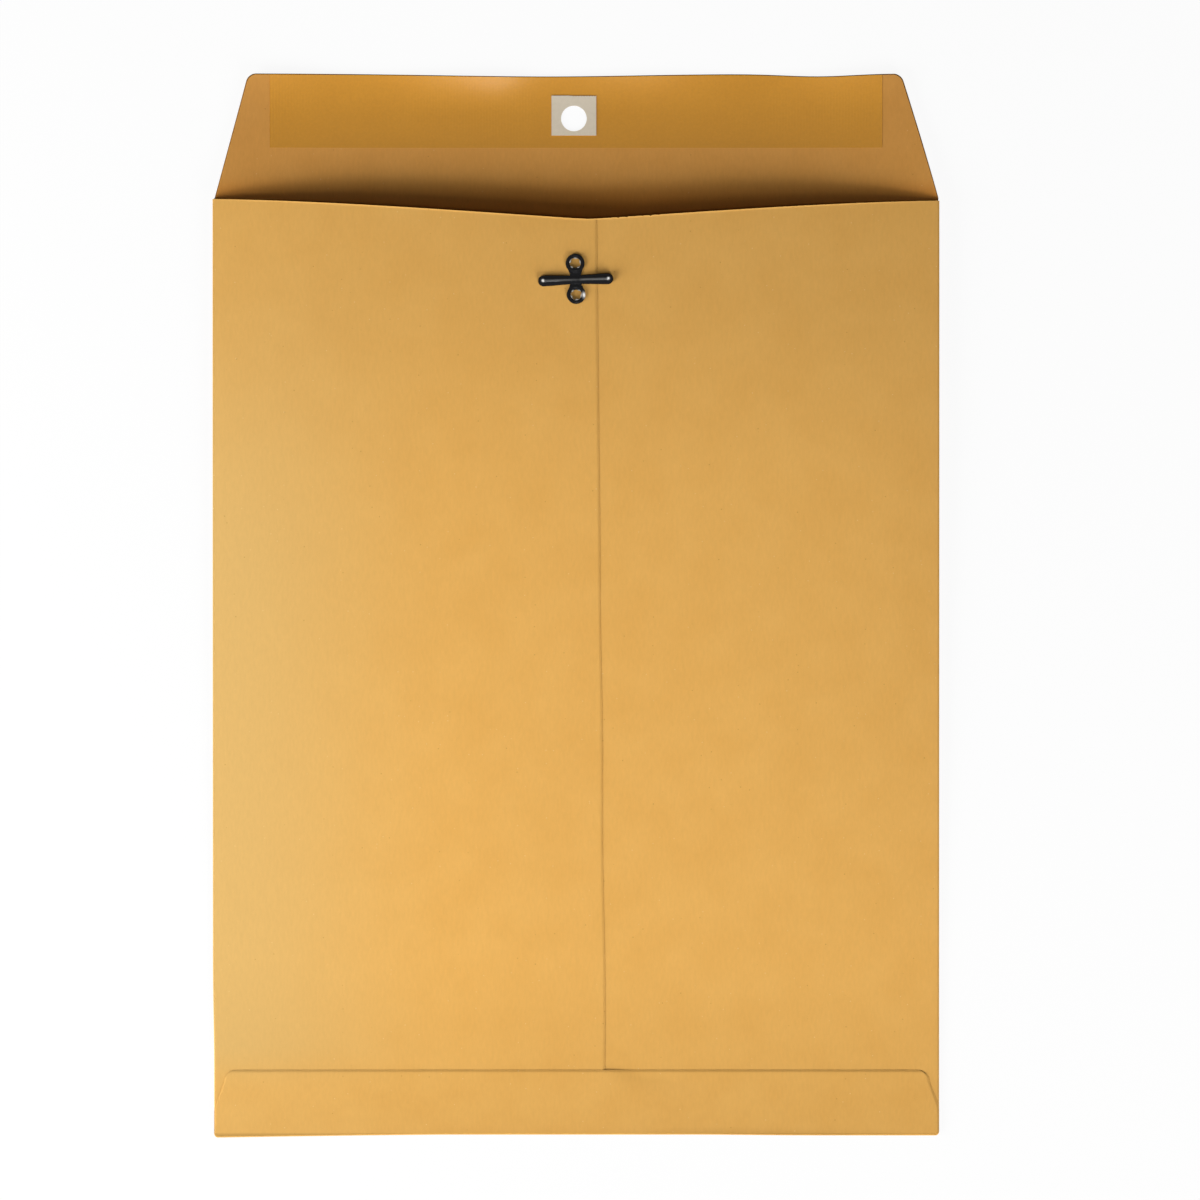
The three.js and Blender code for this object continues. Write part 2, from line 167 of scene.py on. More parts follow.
def sheet_piece(name, columns, rows, face, materials):
    """A thin closed piece on a grid. face(u, v, 1) is its upper side and face(u, v, 0) the lower one.
    materials are those of its upper side, its lower side and its cut edges."""
    u, v = np.meshgrid(columns, rows)
    across, along = len(columns), len(rows)
    upper = np.stack(np.broadcast_arrays(*face(u, v, 1.0)), -1).reshape(-1, 3)
    lower = np.stack(np.broadcast_arrays(*face(u, v, 0.0)), -1).reshape(-1, 3)
    i, j = np.meshgrid(np.arange(across - 1), np.arange(along - 1))
    corner = (j * across + i).ravel()
    top = np.stack([corner, corner + 1, corner + 1 + across, corner + across], 1)
    border = np.concatenate([
        np.arange(across - 1),
        across - 1 + across * np.arange(along - 1),
        across * along - 1 - np.arange(across - 1),
        across * (along - 1 - np.arange(along - 1)),
    ])
    onward = np.roll(border, -1)
    behind = across * along
    rim = np.stack([border + behind, onward + behind, onward, border], 1)
    quads = np.concatenate([top, top[:, ::-1] + behind, rim])
    mesh = bpy.data.meshes.new(name)
    mesh.from_pydata(np.concatenate([upper, lower]), [], quads)
    slots = np.concatenate([np.zeros(len(top)), np.ones(len(top)), np.full(len(rim), cut_edge_slot)])
    mesh.polygons.foreach_set("material_index", slots.astype(np.int32))
    piece = bpy.data.objects.new(name, mesh)
    bpy.context.scene.collection.objects.link(piece)
    for material in materials:
        mesh.materials.append(material)
    return piece


def punch(piece, x, y, diameter):
    """A round hole through the piece, its wall with the material of the cut edges."""
    bpy.ops.mesh.primitive_cylinder_add(
        vertices=64, radius=diameter / 2, depth=punch_length, location=(x, y, 0)
    )
    cutter = bpy.context.object
    for material in piece.data.materials:
        cutter.data.materials.append(material)
    for polygon in cutter.data.polygons:
        polygon.material_index = cut_edge_slot
    cut = piece.modifiers.new("punched_hole", "BOOLEAN")
    cut.operation = "DIFFERENCE"
    cut.solver = "EXACT"
    cut.material_mode = "INDEX"
    cut.object = cutter
    depsgraph = bpy.context.evaluated_depsgraph_get()
    piece_mesh = bpy.data.meshes.new_from_object(piece.evaluated_get(depsgraph))
    piece.modifiers.clear()
    piece.data = piece_mesh
    bpy.data.objects.remove(cutter)


def fold_askew(x, y):
    """How far the bottom fold strays from a straight line: low at both corners, and in at the left one."""
    foot = smooth((foot_start - y) / foot_length)
    left = np.clip((-left_stray_start - x) / (half_width - left_stray_start), 0, 1) ** left_stray_power
    right = smooth((x - right_stray_start) / right_stray_length)
    near_foot = smooth((left_inward_start - y) / left_inward_length)
    inward = left_inward * near_foot * np.clip(-x / half_width, 0, 1)
    return inward, -foot * (left_drop * left + right_drop * right)


def finish_mesh(piece, sharp_angle=35):
    """Smooth faces with sharp cut edges. The piece follows the bottom fold's straying, and keeps each
    point's place at rest, in mm, for its patterns to hold on to."""
    mesh = piece.data
    mesh.shade_smooth()
    mesh.set_sharp_from_angle(angle=math.radians(sharp_angle))
    places = np.zeros(len(mesh.vertices) * 3, np.float32)
    mesh.vertices.foreach_get("co", places)
    inward, drop = fold_askew(places[0::3], places[1::3])
    places[0::3] += inward
    places[1::3] += drop
    mesh.vertices.foreach_set("co", places)
    mesh.update()
    attribute = mesh.attributes.new("place_mm", "FLOAT_VECTOR", "POINT")
    attribute.data.foreach_set("vector", places / mm)


def to_linear(hex_colour):
    """Linear RGBA of an sRGB hex colour."""
    parts = [int(hex_colour[i : i + 2], 16) / 255 for i in (0, 2, 4)]
    return [c / 12.92 if c <= 0.04045 else ((c + 0.055) / 1.055) ** 2.4 for c in parts] + [1.0]


def set_inputs(tree, node, inputs):
    """Links each named or numbered input that is given a socket, and sets the others to their values."""
    for socket, value in inputs.items():
        if isinstance(value, bpy.types.NodeSocket):
            tree.links.new(value, node.inputs[socket])
        else:
            node.inputs[socket].default_value = value


def add_node(tree, kind, inputs=None, **settings):
    node = tree.nodes.new(kind)
    for name, value in settings.items():
        setattr(node, name, value)
    set_inputs(tree, node, inputs or {})
    return node


def rest_place(tree):
    """Each point's place at rest, in mm, so that a pattern moves with its piece."""
    return add_node(tree, "ShaderNodeAttribute", attribute_name="place_mm").outputs["Vector"]


def noise(tree, place, size_mm, detail=2.0, roughness=0.5):
    inputs = {"Vector": place, "Scale": 1 / size_mm, "Detail": detail, "Roughness": roughness}
    return add_node(tree, "ShaderNodeTexNoise", inputs).outputs["Fac"]


def ramp(tree, value, start, end, low=0.0, high=1.0, **settings):
    """Low where the value is start, high where it is end, and held there beyond them."""
    inputs = {"Value": value, "From Min": start, "From Max": end, "To Min": low, "To Max": high}
    return add_node(tree, "ShaderNodeMapRange", inputs, **settings).outputs["Result"]


def multiply(tree, a, b):
    return add_node(tree, "ShaderNodeMath", {0: a, 1: b}, operation="MULTIPLY").outputs[0]


def mix(tree, share, first, second, blend_type="MIX"):
    """The first colour, with that share of the second one laid over it."""
    inputs = {0: share, 6: first, 7: second}
    return add_node(tree, "ShaderNodeMix", inputs, data_type="RGBA", blend_type=blend_type).outputs[2]


def bumps(tree, height, strength, depth):
    inputs = {"Height": height, "Strength": strength, "Distance": depth}
    return add_node(tree, "ShaderNodeBump", inputs).outputs["Normal"]


def new_material(name):
    """A new material, its node tree and its shader."""
    material = bpy.data.materials.new(name)
    material.use_nodes = True
    shader = material.node_tree.nodes["Principled BSDF"]
    return material, material.node_tree, shader


# Kraft paper, calendered: long brown fibres pressed smooth, so it is matt with a mild cloudiness, a fine
# grain along the machine direction, and a few dark and pale flecks of bark and shive.
fleck_mm = 3.4
fleck_rarity = 0.72
cloud_mm = 14
grain_mm = 0.9
fold_band_mm = 0.8
fold_tone = 0.72
side_mm = half_width / mm
foot_mm = bottom_y / mm

# Where a painted sheen lies on the outside, paler on the left side and fading towards the mouth and the
# bottom: an axis, from and to where in mm, and the least share.
painted_sheen_spans = (("X", -35.0, -128.0, 0.0), ("Y", 150.0, 10.0, 0.1), ("Y", -172.0, -154.0, 0.35))

# Where painted shade darkens the outside towards the mouth and the bottom end, and where a thin band along
# each fold is darker: an axis, from and to where in mm, and the tone that it comes down to.
painted_shade_and_fold_spans = (
    ("Y", 45.0, 142.0, 0.93),
    ("Y", -125.0, -188.0, 0.88),
    ("Y", foot_mm + fold_band_mm, foot_mm, fold_tone),
    ("X", side_mm - fold_band_mm, side_mm, fold_tone),
    ("X", fold_band_mm - side_mm, -side_mm, fold_tone),
)

# Where the inside's painted shade near the mouth comes in, going in from the flap, and the span further in
# where it is gone and where it is full, in mm along Y.
pocket_shade_start_span = (fold_y / mm + 9, fold_y / mm - 5)
pocket_shade_end_span = (119.0, 129.0)


def kraft_paper(name, body_hex, cloud_hex, fleck_hex, pale_hex, roughness, grain, painted_sheen_hex=None,
                painted_pocket_shade_hex=None):
    """The paler colour given for the outside alone is a painted sheen on its left side, and the deeper
    colour given for the inside is painted shade in the mouth.
    """
    material, tree, shader = new_material(name)
    place = rest_place(tree)
    spot = add_node(tree, "ShaderNodeSeparateXYZ", {"Vector": place})
    cloudy = ramp(tree, noise(tree, place, cloud_mm, 3.0), 0.3, 0.7)
    colour = mix(tree, cloudy, to_linear(body_hex), to_linear(cloud_hex))
    # A painted sheen: a paler colour laid over the left side of the outside, fading towards the mouth and
    # the bottom.
    if painted_sheen_hex:
        sheen_share = 1.0
        for axis, first, last, least in painted_sheen_spans:
            within = ramp(
                tree, spot.outputs[axis], first, last, least, interpolation_type="SMOOTHSTEP"
            )
            sheen_share = multiply(tree, sheen_share, within)
        colour = mix(tree, sheen_share, colour, to_linear(painted_sheen_hex))
    along = add_node(tree, "ShaderNodeMapping", {"Vector": place, "Scale": (1.0, 0.3, 1.0)})
    fibres = noise(tree, along.outputs["Vector"], grain_mm, 4.0, 0.65)
    tone = ramp(tree, fibres, 0.3, 0.7, 1 - grain, 1 + grain)
    # Painted shade towards the mouth and the bottom end, and thin darker bands along the folds.
    for axis, first, last, least in painted_shade_and_fold_spans if painted_sheen_hex else ():
        tone = multiply(tree, tone, ramp(tree, spot.outputs[axis], first, last, 1.0, least))
    colour = mix(tree, 1.0, colour, tone, "MULTIPLY")
    for scale, size, amount, hex_colour in ((1.0, 0.085, 0.5, fleck_hex), (1.37, 0.1, 0.45, pale_hex)):
        cells = add_node(tree, "ShaderNodeTexVoronoi", {"Vector": place, "Scale": scale / fleck_mm})
        near = ramp(tree, cells.outputs["Distance"], size, size * 0.4, 0.0, amount)
        chance = add_node(tree, "ShaderNodeSeparateColor", {"Color": cells.outputs["Color"]})
        picked = add_node(
            tree, "ShaderNodeMath", {0: chance.outputs["Red"], 1: fleck_rarity}, operation="GREATER_THAN"
        )
        colour = mix(tree, multiply(tree, near, picked.outputs[0]), colour, to_linear(hex_colour))
    # Painted shade in the mouth: a deeper, warmer colour on the inside where the pocket's shadow falls.
    if painted_pocket_shade_hex:
        started = ramp(tree, spot.outputs["Y"], *pocket_shade_start_span, interpolation_type="SMOOTHSTEP")
        within = multiply(tree, started, ramp(tree, spot.outputs["Y"], *pocket_shade_end_span))
        colour = mix(tree, within, colour, to_linear(painted_pocket_shade_hex), "MULTIPLY")
    set_inputs(tree, shader, {
        "Base Color": colour,
        "Normal": bumps(tree, fibres, 0.35, 0.02 * mm),
        "Roughness": roughness,
        "Specular IOR Level": 0.2,
    })
    return material


# The outside's paler colour, DAB069, is a painted sheen on its left side.
kraft_outside = kraft_paper(
    "kraft_paper_calendered", "E6B05E", "E2AB59", "A9752F", "F3D9A0", 0.7, 0.03, painted_sheen_hex="DAB069"
)
# Its FFE0B0 deepens the inside near the mouth as painted shade.
kraft_inside = kraft_paper(
    "kraft_paper_felt_side", "D0954C", "CC9148", "94632C", "E4C08A", 0.85, 0.04, painted_pocket_shade_hex="FFE0B0"
)
kraft_edge = kraft_paper("kraft_paper_cut_edge", "F0CB8C", "EBC07C", "D9A85E", "FAE7C4", 0.9, 0.06)
# The front sheet's cut edge is painted dark brown, as painted shade along the outline of the flap and the
# front.
painted_shade_edge = kraft_paper("kraft_paper_cut_edge_painted_shade", "8E6430", "845B29", "6F4A20", "A87C45", 0.9, 0.06)

fine_rows_reach = 3.2 * mm
front_rows = np.concatenate([
    np.linspace(bottom_y + side_fold_radius, fold_y - 4 * mm, 90),
    np.linspace(fold_y - fine_rows_reach, fold_y + fine_rows_reach, 17),
    np.linspace(fold_y + 5 * mm, tip_y - flap_radius, 18),
    tip_y - flap_radius * (1 - np.sin(np.linspace(0, math.pi / 2, 8)[1:])),
])
side_columns = closer_at_ends(0.0, 1.0, 90) * 2 - 1


def front_face(u, y, side):
    at_crease = smooth((y - fold_y) / (2 * crease_width) + 0.5)
    half = crease_x + (flap_half_width(np.maximum(y, fold_y), np.sign(u)) - crease_x) * at_crease
    x = u * (half - side * cut_bevel)
    y = y - side * cut_bevel * smooth((y - fold_y) / flap_height)
    shown_y = y - tip_cut(x, y)
    z = np.where(y < fold_y, front_under(x, y), flap_under(x, y))
    crease = crease_depth * np.exp(-(((y - fold_y) / crease_width) ** 2)) * (1 - side)
    return x, shown_y, z + crease + side * paper


front = sheet_piece(
    "front_and_seal_flap", side_columns, front_rows, front_face, (kraft_inside, kraft_outside, painted_shade_edge)
)
punch(front, hole_x, tip_y - hole_from_tip, hole_diameter)
finish_mesh(front)
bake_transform(front)
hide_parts("front_panel", "seal_flap")

# The two back panels, each with its side fold. They are wings of the same kraft sheet, folded in from the
# sides. The left one laps over the right one at the centre seam, and the mouth's edge is die-cut.
back_end_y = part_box("left_back_panel")[0].y
throat_depth = 7.2 * mm
throat_point_x = 4 * mm
throat_skew = 0.6 * mm
throat_start = 0.12
throat_fall = 0.61
throat_gap = 0.15 * mm
torn_depth = 0.6 * mm
torn_x = 21 * mm
torn_width = 9 * mm
torn_pitch = 0.45 * mm
torn_swell_pitch = 1.9 * mm
crown_power = 3.6
mouth_crown_power = 2.6
rounder_start = 40 * mm
rounder_length = 90 * mm
paper_wave = 0.07 * mm
wave_across_length = 23 * mm
wave_along_length = 37 * mm
wave_bend_length = 41 * mm
flat_foot_length = 60 * mm
lip_height = 0.09 * mm
lip_length = 0.45 * mm
seam_x = 7.5 * mm
seam_lean = 0.0101
seam_overlap = 15.5 * mm
seam_wave = 0.18 * mm
seam_wave_length = 14 * mm
seam_wave_growth = 90 * mm
clasp_low, clasp_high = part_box("clasp_base")
clasp_x = (clasp_low.x + clasp_high.x) / 2
clasp_y = (clasp_low.y + clasp_high.y) / 2
clasp_turn = math.radians(2)
ring_spacing = 10.95 * mm
eyelet_bore = 3.9 * mm
eyelet_hole_room = 0.6 * mm
edge_crush = 0.11 * mm
edge_crush_length = 0.7 * mm


def glued_crest(y):
    """Top of the left panel where its glue has dried to a thin film."""
    return right_crest(y) + slip + paper


def back_relief(x, y):
    """The paper's own slight waves, none at the folds."""
    bend = 0.6 * np.sin(y / wave_bend_length)
    waves = np.sin(x / wave_across_length + bend) * np.sin(y / wave_along_length + 1.3)
    still = (1 - (x / crease_x) ** 4) * smooth((y - bottom_y) / flat_foot_length)
    return paper_wave * waves * np.clip(still, 0, 1)


def back_top(x, y, crest):
    """Top of a back panel, swelling from its side fold to that crest, and rounder near the mouth."""
    side = side_lift(y) + 2 * side_fold_radius
    rounder = smooth((y - rounder_start) / rounder_length)
    power = crown_power + (mouth_crown_power - crown_power) * rounder
    crown = 1 - np.minimum(1, np.abs(x) / crease_x) ** power
    return side + (crest(y) - side) * crown + back_relief(x, y)


def throat_y(x):
    """The mouth's die-cut edge: almost along the crease at the sides, steepening to its point."""
    side = np.where(x > throat_point_x, 1.0, -1.0)
    t = np.clip((side * crease_x - x) / (side * crease_x - throat_point_x), 0, 1)
    fall = 3 * (1 - t) ** 2 * t * throat_start + 3 * (1 - t) * t**2 * throat_fall + t**3
    skew = np.where(side > 0, throat_skew, 0.0)
    torn = np.exp(-(((x - torn_x) / torn_width) ** 2)) * np.maximum(0, np.sin(x / torn_pitch)) ** 6
    torn = torn * (0.6 + 0.4 * np.sin(x / torn_swell_pitch)) * torn_depth
    return fold_y - throat_gap - skew - (throat_depth - skew) * fall - torn


def seam_edge(y):
    growth = smooth((clasp_y - y) / seam_wave_growth - 0.6)
    wave = seam_wave * np.sin((y - clasp_y) / seam_wave_length) * growth
    return seam_x + seam_lean * (clasp_y - y) + wave


def crushed_edge(distance, side):
    """How much thinner a sheet is near its cut edge."""
    return side * edge_crush * (1 - smooth(distance / edge_crush_length))


def punch_eyelet_holes(piece):
    """The two holes that the eyelets go through, a little wider than their bores."""
    for end in (-1, 1):
        reach = end * ring_spacing / 2
        hole = clasp_x - reach * math.sin(clasp_turn), clasp_y + reach * math.cos(clasp_turn)
        punch(piece, *hole, eyelet_bore + eyelet_hole_room)


# How far the last rows are from the mouth's cut edge, and the first columns from the seam's, in mm.
mouth_steps_mm = np.array([18, 12, 7, 4, 2, 1.2, 0.7, 0.35, 0])
seam_steps_mm = np.array([0, 0.12, 0.25, 0.4, 0.6, 0.9, 1.3, 1.8, 2.4])
back_length_mm = 326


def back_panel(name, sign, inner_edge, crest, panel_columns):
    """sign is -1 for the left panel. u runs from its inner edge, 0, to its side fold, 1, and round it, 2.
    The left panel lies on top at the seam, so its inner edge is crushed and it has the eyelets' holes."""
    rows = np.concatenate([np.linspace(0, 0.9, 96), 1 - mouth_steps_mm / back_length_mm])
    columns = np.concatenate([panel_columns, np.linspace(1, 2, 13)[1:]])
    if sign < 0:
        columns = columns[::-1]

    def face(u, v, side):
        flat_u = np.minimum(u, 1)
        turn = math.pi * np.clip(u - 1, 0, 1)
        nominal_y = back_end_y + (fold_y - back_end_y) * v
        inner = inner_edge(nominal_y)
        x = inner + (sign * crease_x - inner) * flat_u
        y = back_end_y + (throat_y(x) - back_end_y) * v
        lip = lip_height * np.clip(1 - (throat_y(x) - y) / lip_length, 0, 1) ** 1.5
        panel_z = back_top(x, y, crest) - (1 - side) * paper + lip * (1 - np.abs(x / crease_x) ** 8)
        if sign < 0:
            panel_z = panel_z - crushed_edge(np.abs(x - inner), side)
        radius = side_fold_radius - (1 - side) * paper
        fold_z_here = side_lift(y) + side_fold_radius + radius * np.cos(turn)
        fold_x = sign * (crease_x + radius * np.sin(turn))
        return np.where(u > 1, fold_x, x), y, np.where(u > 1, fold_z_here, panel_z)

    panel = sheet_piece(name, columns, rows, face, (kraft_outside, kraft_inside, kraft_edge))
    if sign < 0:
        punch_eyelet_holes(panel)
    finish_mesh(panel)
    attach(panel, "pocket")
    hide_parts(name)


def closer_at_fold(count):
    return 1 - (1 - np.linspace(0, 1, count)) ** 1.3


left_columns = np.concatenate([seam_steps_mm * mm / (crease_x + seam_x), closer_at_fold(70)[3:]])
fine_share = 0.36
right_columns = np.concatenate([
    np.linspace(0, fine_share, 130), fine_share + (1 - fine_share) * closer_at_fold(46)[1:]
])
back_panel("left_back_panel", -1, seam_edge, glued_crest, left_columns)
back_panel("right_back_panel", 1, lambda y: seam_edge(y) - seam_overlap, right_crest, right_columns)

# The bottom flap, folded up over both back panels and glued down. Its free edge has slanted ends with a
# radius at each corner, and the outline of the bottom fold is rounded at the pocket's corners.
bottom_flap_height = 22.7 * mm
bottom_flap_straight = 9.7 * mm
bottom_flap_slant = 3.4 * mm
bottom_flap_radius = 4 * mm
bottom_fold_radius = side_fold_radius + (glue_line + paper) / 2
seam_step_gap = 0.6 * mm
seam_step_width = 40 * mm
edge_step_width = 9 * mm
edge_step_reach = 9 * mm
corner_radius = 1.4 * mm
corner_x = half_width - corner_radius
bottom_round_y = bottom_y + bottom_flap_height - bottom_flap_radius


def corner_lift(x):
    out = np.clip(np.abs(x) - corner_x, 0, corner_radius)
    return corner_radius - np.sqrt(corner_radius**2 - out**2)


def bottom_half_width(y):
    straight_y = bottom_y + bottom_flap_straight
    slant = np.clip((y - straight_y) / (bottom_round_y - straight_y), 0, 1)
    over = np.clip((y - bottom_round_y) / bottom_flap_radius, 0, 1)
    rounding = bottom_flap_radius * (1 - np.sqrt(1 - over**2))
    return half_width - bottom_flap_slant * slant - rounding


def back_under_flap(x, y):
    """Top of the back under the flap, which eases down past the seam's edge, sharper at its free edge."""
    from_edge = smooth((bottom_y + bottom_flap_height - y) / edge_step_reach)
    step_width = edge_step_width + (seam_step_width - edge_step_width) * from_edge
    past = smooth((x - seam_edge(y) - seam_step_gap) / step_width)
    return back_top(x, y, glued_crest) * (1 - past) + back_top(x, y, right_crest) * past


def bottom_flap_face(u, v, side):
    """v from 0 to 1 goes round the bottom fold, and from 1 to 2 up the flap."""
    y = bottom_y + (np.maximum(v, 1) - 1) * bottom_flap_height
    flap_x = u * bottom_half_width(y)
    from_edge = np.minimum(bottom_y + bottom_flap_height - y, (1 - np.abs(u)) * bottom_half_width(y))
    flap_z = back_under_flap(flap_x, y) + slip + side * paper - crushed_edge(from_edge, side)
    x = u * half_width
    turn = math.pi * np.minimum(v, 1)
    radius = bottom_fold_radius - (1 - side) * paper
    start_y = bottom_y + corner_lift(x) + bottom_fold_radius
    rise = back_under_flap(x, start_y) + slip + paper - 2 * bottom_fold_radius
    round_z = bottom_fold_radius + rise * np.minimum(v, 1) - radius * np.cos(turn)
    round_y = start_y - radius * np.sin(turn)
    on_flap = v > 1
    return np.where(on_flap, flap_x, x), np.where(on_flap, y, round_y), np.where(on_flap, flap_z, round_z)


first_flap_v = 1 + 2.2 * corner_radius / bottom_flap_height
bottom_flap_rows = np.concatenate([
    np.linspace(0, 1, 15),
    np.linspace(first_flap_v, 1 + (bottom_round_y - bottom_y) / bottom_flap_height, 14),
    1 + (bottom_round_y - bottom_y + bottom_flap_radius * np.sin(np.linspace(0, math.pi / 2, 11)[1:]))
    / bottom_flap_height,
])
corner_turns = np.sin(np.linspace(0, math.pi / 2, 9)[1:])
corner_columns = (corner_x + corner_radius * corner_turns) / half_width
bottom_flap_columns = np.concatenate([
    -corner_columns[::-1], np.linspace(-corner_x, corner_x, 120) / half_width, corner_columns
])
bottom_flap = sheet_piece(
    "bottom_flap", bottom_flap_columns, bottom_flap_rows, bottom_flap_face,
    (kraft_outside, kraft_inside, kraft_edge),
)
finish_mesh(bottom_flap)
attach(bottom_flap, "pocket")
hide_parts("bottom_flap")

# The glue lines in the centre seam and under the bottom flap. Dextrin glue, rolled on wet and dried hard,
# pale and slightly glossy, with faint streaks along the roller's way.
streak_mm = 0.8
dextrin, tree, shader = new_material("dextrin_glue_dried")
rolled = add_node(tree, "ShaderNodeMapping", {"Vector": rest_place(tree), "Scale": (1.0, 0.1, 1.0)})
streaks = noise(tree, rolled.outputs["Vector"], streak_mm)
set_inputs(tree, shader, {
    "Base Color": mix(tree, streaks, to_linear("CDB98A"), to_linear("E4D6AE")),
    "Normal": bumps(tree, streaks, 0.4, 0.02 * mm),
    "Roughness": 0.42,
})
glue_film = 0.02 * mm
film_gap = 0.005 * mm
seam_glue_width = 10 * mm
seam_glue_inset = 6 * mm
flap_glue_width = 12 * mm
flap_glue_inset = 4 * mm


def seam_glue_face(u, v, side):
    first_y = back_end_y + seam_glue_inset
    x = seam_edge(first_y + (fold_y - first_y) * v) - seam_overlap / 2 + u * seam_glue_width
    y = first_y + (throat_y(x) - seam_glue_inset - first_y) * v
    return x, y, back_top(x, y, right_crest) + film_gap + side * glue_film


def flap_glue_face(u, y, side):
    x = u * (bottom_half_width(y) - 2 * flap_glue_inset)
    return x, y, back_under_flap(x, y) + film_gap + side * glue_film


seam_glue = sheet_piece(
    "seam_glue", np.linspace(-0.5, 0.5, 41), np.linspace(0, 1, 110), seam_glue_face, (dextrin,) * 3
)
punch_eyelet_holes(seam_glue)
flap_glue_top = bottom_y + bottom_flap_height - flap_glue_inset
flap_glue_rows = np.linspace(flap_glue_top - flap_glue_width, flap_glue_top, 9)
flap_glue = sheet_piece(
    "bottom_flap_glue", bottom_flap_columns, flap_glue_rows, flap_glue_face, (dextrin,) * 3
)
for glue_piece, name in ((seam_glue, "seam_glue"), (flap_glue, "bottom_flap_glue")):
    finish_mesh(glue_piece)
    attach(glue_piece, "pocket")
    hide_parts(name)

# The gum on the seal flap. Remoistenable dextrin gum, rolled on in a band and dried to a thin glossy skin
# that deepens the paper's colour, with the fine ribs that the roller leaves.
gum_low, gum_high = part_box("seal_gum")
gum_thick = 0.04 * mm
rib_mm = 1.05

seal_gum, tree, shader = new_material("dextrin_gum_dried_gloss")
place = rest_place(tree)
cloudy = mix(tree, noise(tree, place, cloud_mm, 3.0), to_linear("CF8E27"), to_linear("D5942B"))
fibre_tone = ramp(tree, noise(tree, place, grain_mm, 4.0, 0.6), 0.3, 0.7, 0.96, 1.04)
across = add_node(tree, "ShaderNodeSeparateXYZ", {"Vector": place})
# Painted shade: the gum darkens towards its lower edge, where the mouth's shadow falls on the flap.
painted_shade_tone = ramp(tree, across.outputs["Y"], gum_low.y / mm, gum_high.y / mm, 0.83, 1.02)
one_mm_wave_scale = 2 * math.pi / 20
ribs = add_node(
    tree, "ShaderNodeTexWave",
    {"Vector": place, "Scale": one_mm_wave_scale / rib_mm, "Distortion": 1.2, "Detail": 2.0,
     "Detail Scale": 0.3},
    bands_direction="X",
)
set_inputs(tree, shader, {
    "Base Color": mix(tree, 1.0, cloudy, multiply(tree, fibre_tone, painted_shade_tone), "MULTIPLY"),
    "Normal": bumps(tree, ribs.outputs["Fac"], 0.6, 0.02 * mm),
    "Roughness": 0.23,
    "Specular IOR Level": 0.32,
})


def gum_face(x, y, side):
    return x, y - tip_cut(x, y), flap_under(x, y) + paper + slip + side * gum_thick


gum = sheet_piece(
    "seal_gum",
    np.linspace(gum_low.x, gum_high.x, 130),
    np.linspace(gum_low.y, gum_high.y, 28),
    gum_face,
    (seal_gum,) * 3,
)
punch(gum, hole_x, tip_y - hole_from_tip, hole_diameter)
finish_mesh(gum)
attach(gum, "flap")
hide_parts("seal_gum")

# The patch round the hole. A small oblong of tough grey-brown manila, cut by a toothed blade along part
# of its top edge, and glued over the gum so that the wings don't tear the flap.
patch_low, patch_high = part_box("hole_patch")
patch_thick = 0.12 * mm
tooth_mm = 0.95
tooth_height = 0.3 * mm
toothed_from = 0.35
mottle_mm = 1.3

manila, tree, shader = new_material("manila_patch_grey")
mottle = noise(tree, rest_place(tree), mottle_mm, 5.0, 0.6)
set_inputs(tree, shader, {
    "Base Color": mix(tree, mottle, to_linear("D4C7B1"), to_linear("E2D6C2")),
    "Normal": bumps(tree, mottle, 0.3, 0.03 * mm),
    "Roughness": 0.8,
    "Specular IOR Level": 0.25,
})


def patch_face(u, v, side):
    x = patch_low.x + (patch_high.x - patch_low.x) * u
    toothed = smooth((u - toothed_from) * 6)
    teeth = np.abs(((x / mm / tooth_mm) % 1) - 0.5) * 2 * tooth_height * toothed
    y = patch_low.y + (patch_high.y - patch_low.y - teeth) * v
    return x, y, flap_under(x, y) + paper + 2 * slip + gum_thick + side * patch_thick


patch = sheet_piece("hole_patch", np.linspace(0, 1, 67), np.linspace(0, 1, 24), patch_face, (manila,) * 3)
punch(patch, hole_x, tip_y - hole_from_tip, hole_diameter)
finish_mesh(patch)
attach(patch, "flap")
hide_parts("hole_patch")

# The clasp's base. One stamping of thin steel, enamelled black: a strap with a saddle across its waist
# and an eyelet at each end, rolled over on top and clinched through both back panels. The pierced edges
# inside the eyelets are torn bright by the clinching tool.
metal = 0.35 * mm
clasp_z = float(back_top(np.float64(clasp_x), np.float64(clasp_y), glued_crest))
ring_diameter = 6.7 * mm
ring_height = 0.6 * mm
ring_roundness = 0.8
eyelet_wall = 0.2 * mm
clinch_depth = 0.15 * mm
clinch_reach = 0.9 * mm
clinch_thick = 0.2 * mm
clinch_root = 0.3 * mm
strap_width = 3.7 * mm
wing_half_span = 13.2 * mm
wing_root_width = 3.0 * mm
wing_tip_width = 3.95 * mm
wing_height = 1.15 * mm
wing_shoulder = 4.5 * mm
bend_x = 1.6 * mm
bend_height = 0.62 * mm
saddle_height = 0.8 * mm
ridge_y = -0.3 * mm
neck_flare = 1.05 * mm
strap_half_length = ring_spacing / 2 - 1.6 * mm
bar_roundness = 0.35
saddle_belly = 0.02 * mm
voxel = 0.085 * mm


def ridge(x):
    """Width and height of the half-round ridge that runs from wing to wing, lower where it bends."""
    out = np.abs(x)
    grown = np.clip((out - bend_x) / (wing_half_span - wing_tip_width / 2 - bend_x), 0, 1)
    width = wing_root_width + (wing_tip_width - wing_root_width) * grown**0.8
    inside = bend_height + (saddle_height - bend_height) * (1 - smooth(out / bend_x))
    outside = bend_height + (wing_height - bend_height) * smooth((out - bend_x) / wing_shoulder) ** 0.7
    return width, np.where(out < bend_x, inside, outside)


def clasp_place(local):
    """Clasp coordinates, on the paper between the eyelets, to the row frame."""
    local = np.asarray(local, float)
    c, s = math.cos(clasp_turn), math.sin(clasp_turn)
    x = clasp_x + c * local[..., 0] - s * local[..., 1]
    y = clasp_y + s * local[..., 0] + c * local[..., 1]
    return np.stack([x, y, clasp_z + local[..., 2]], -1)


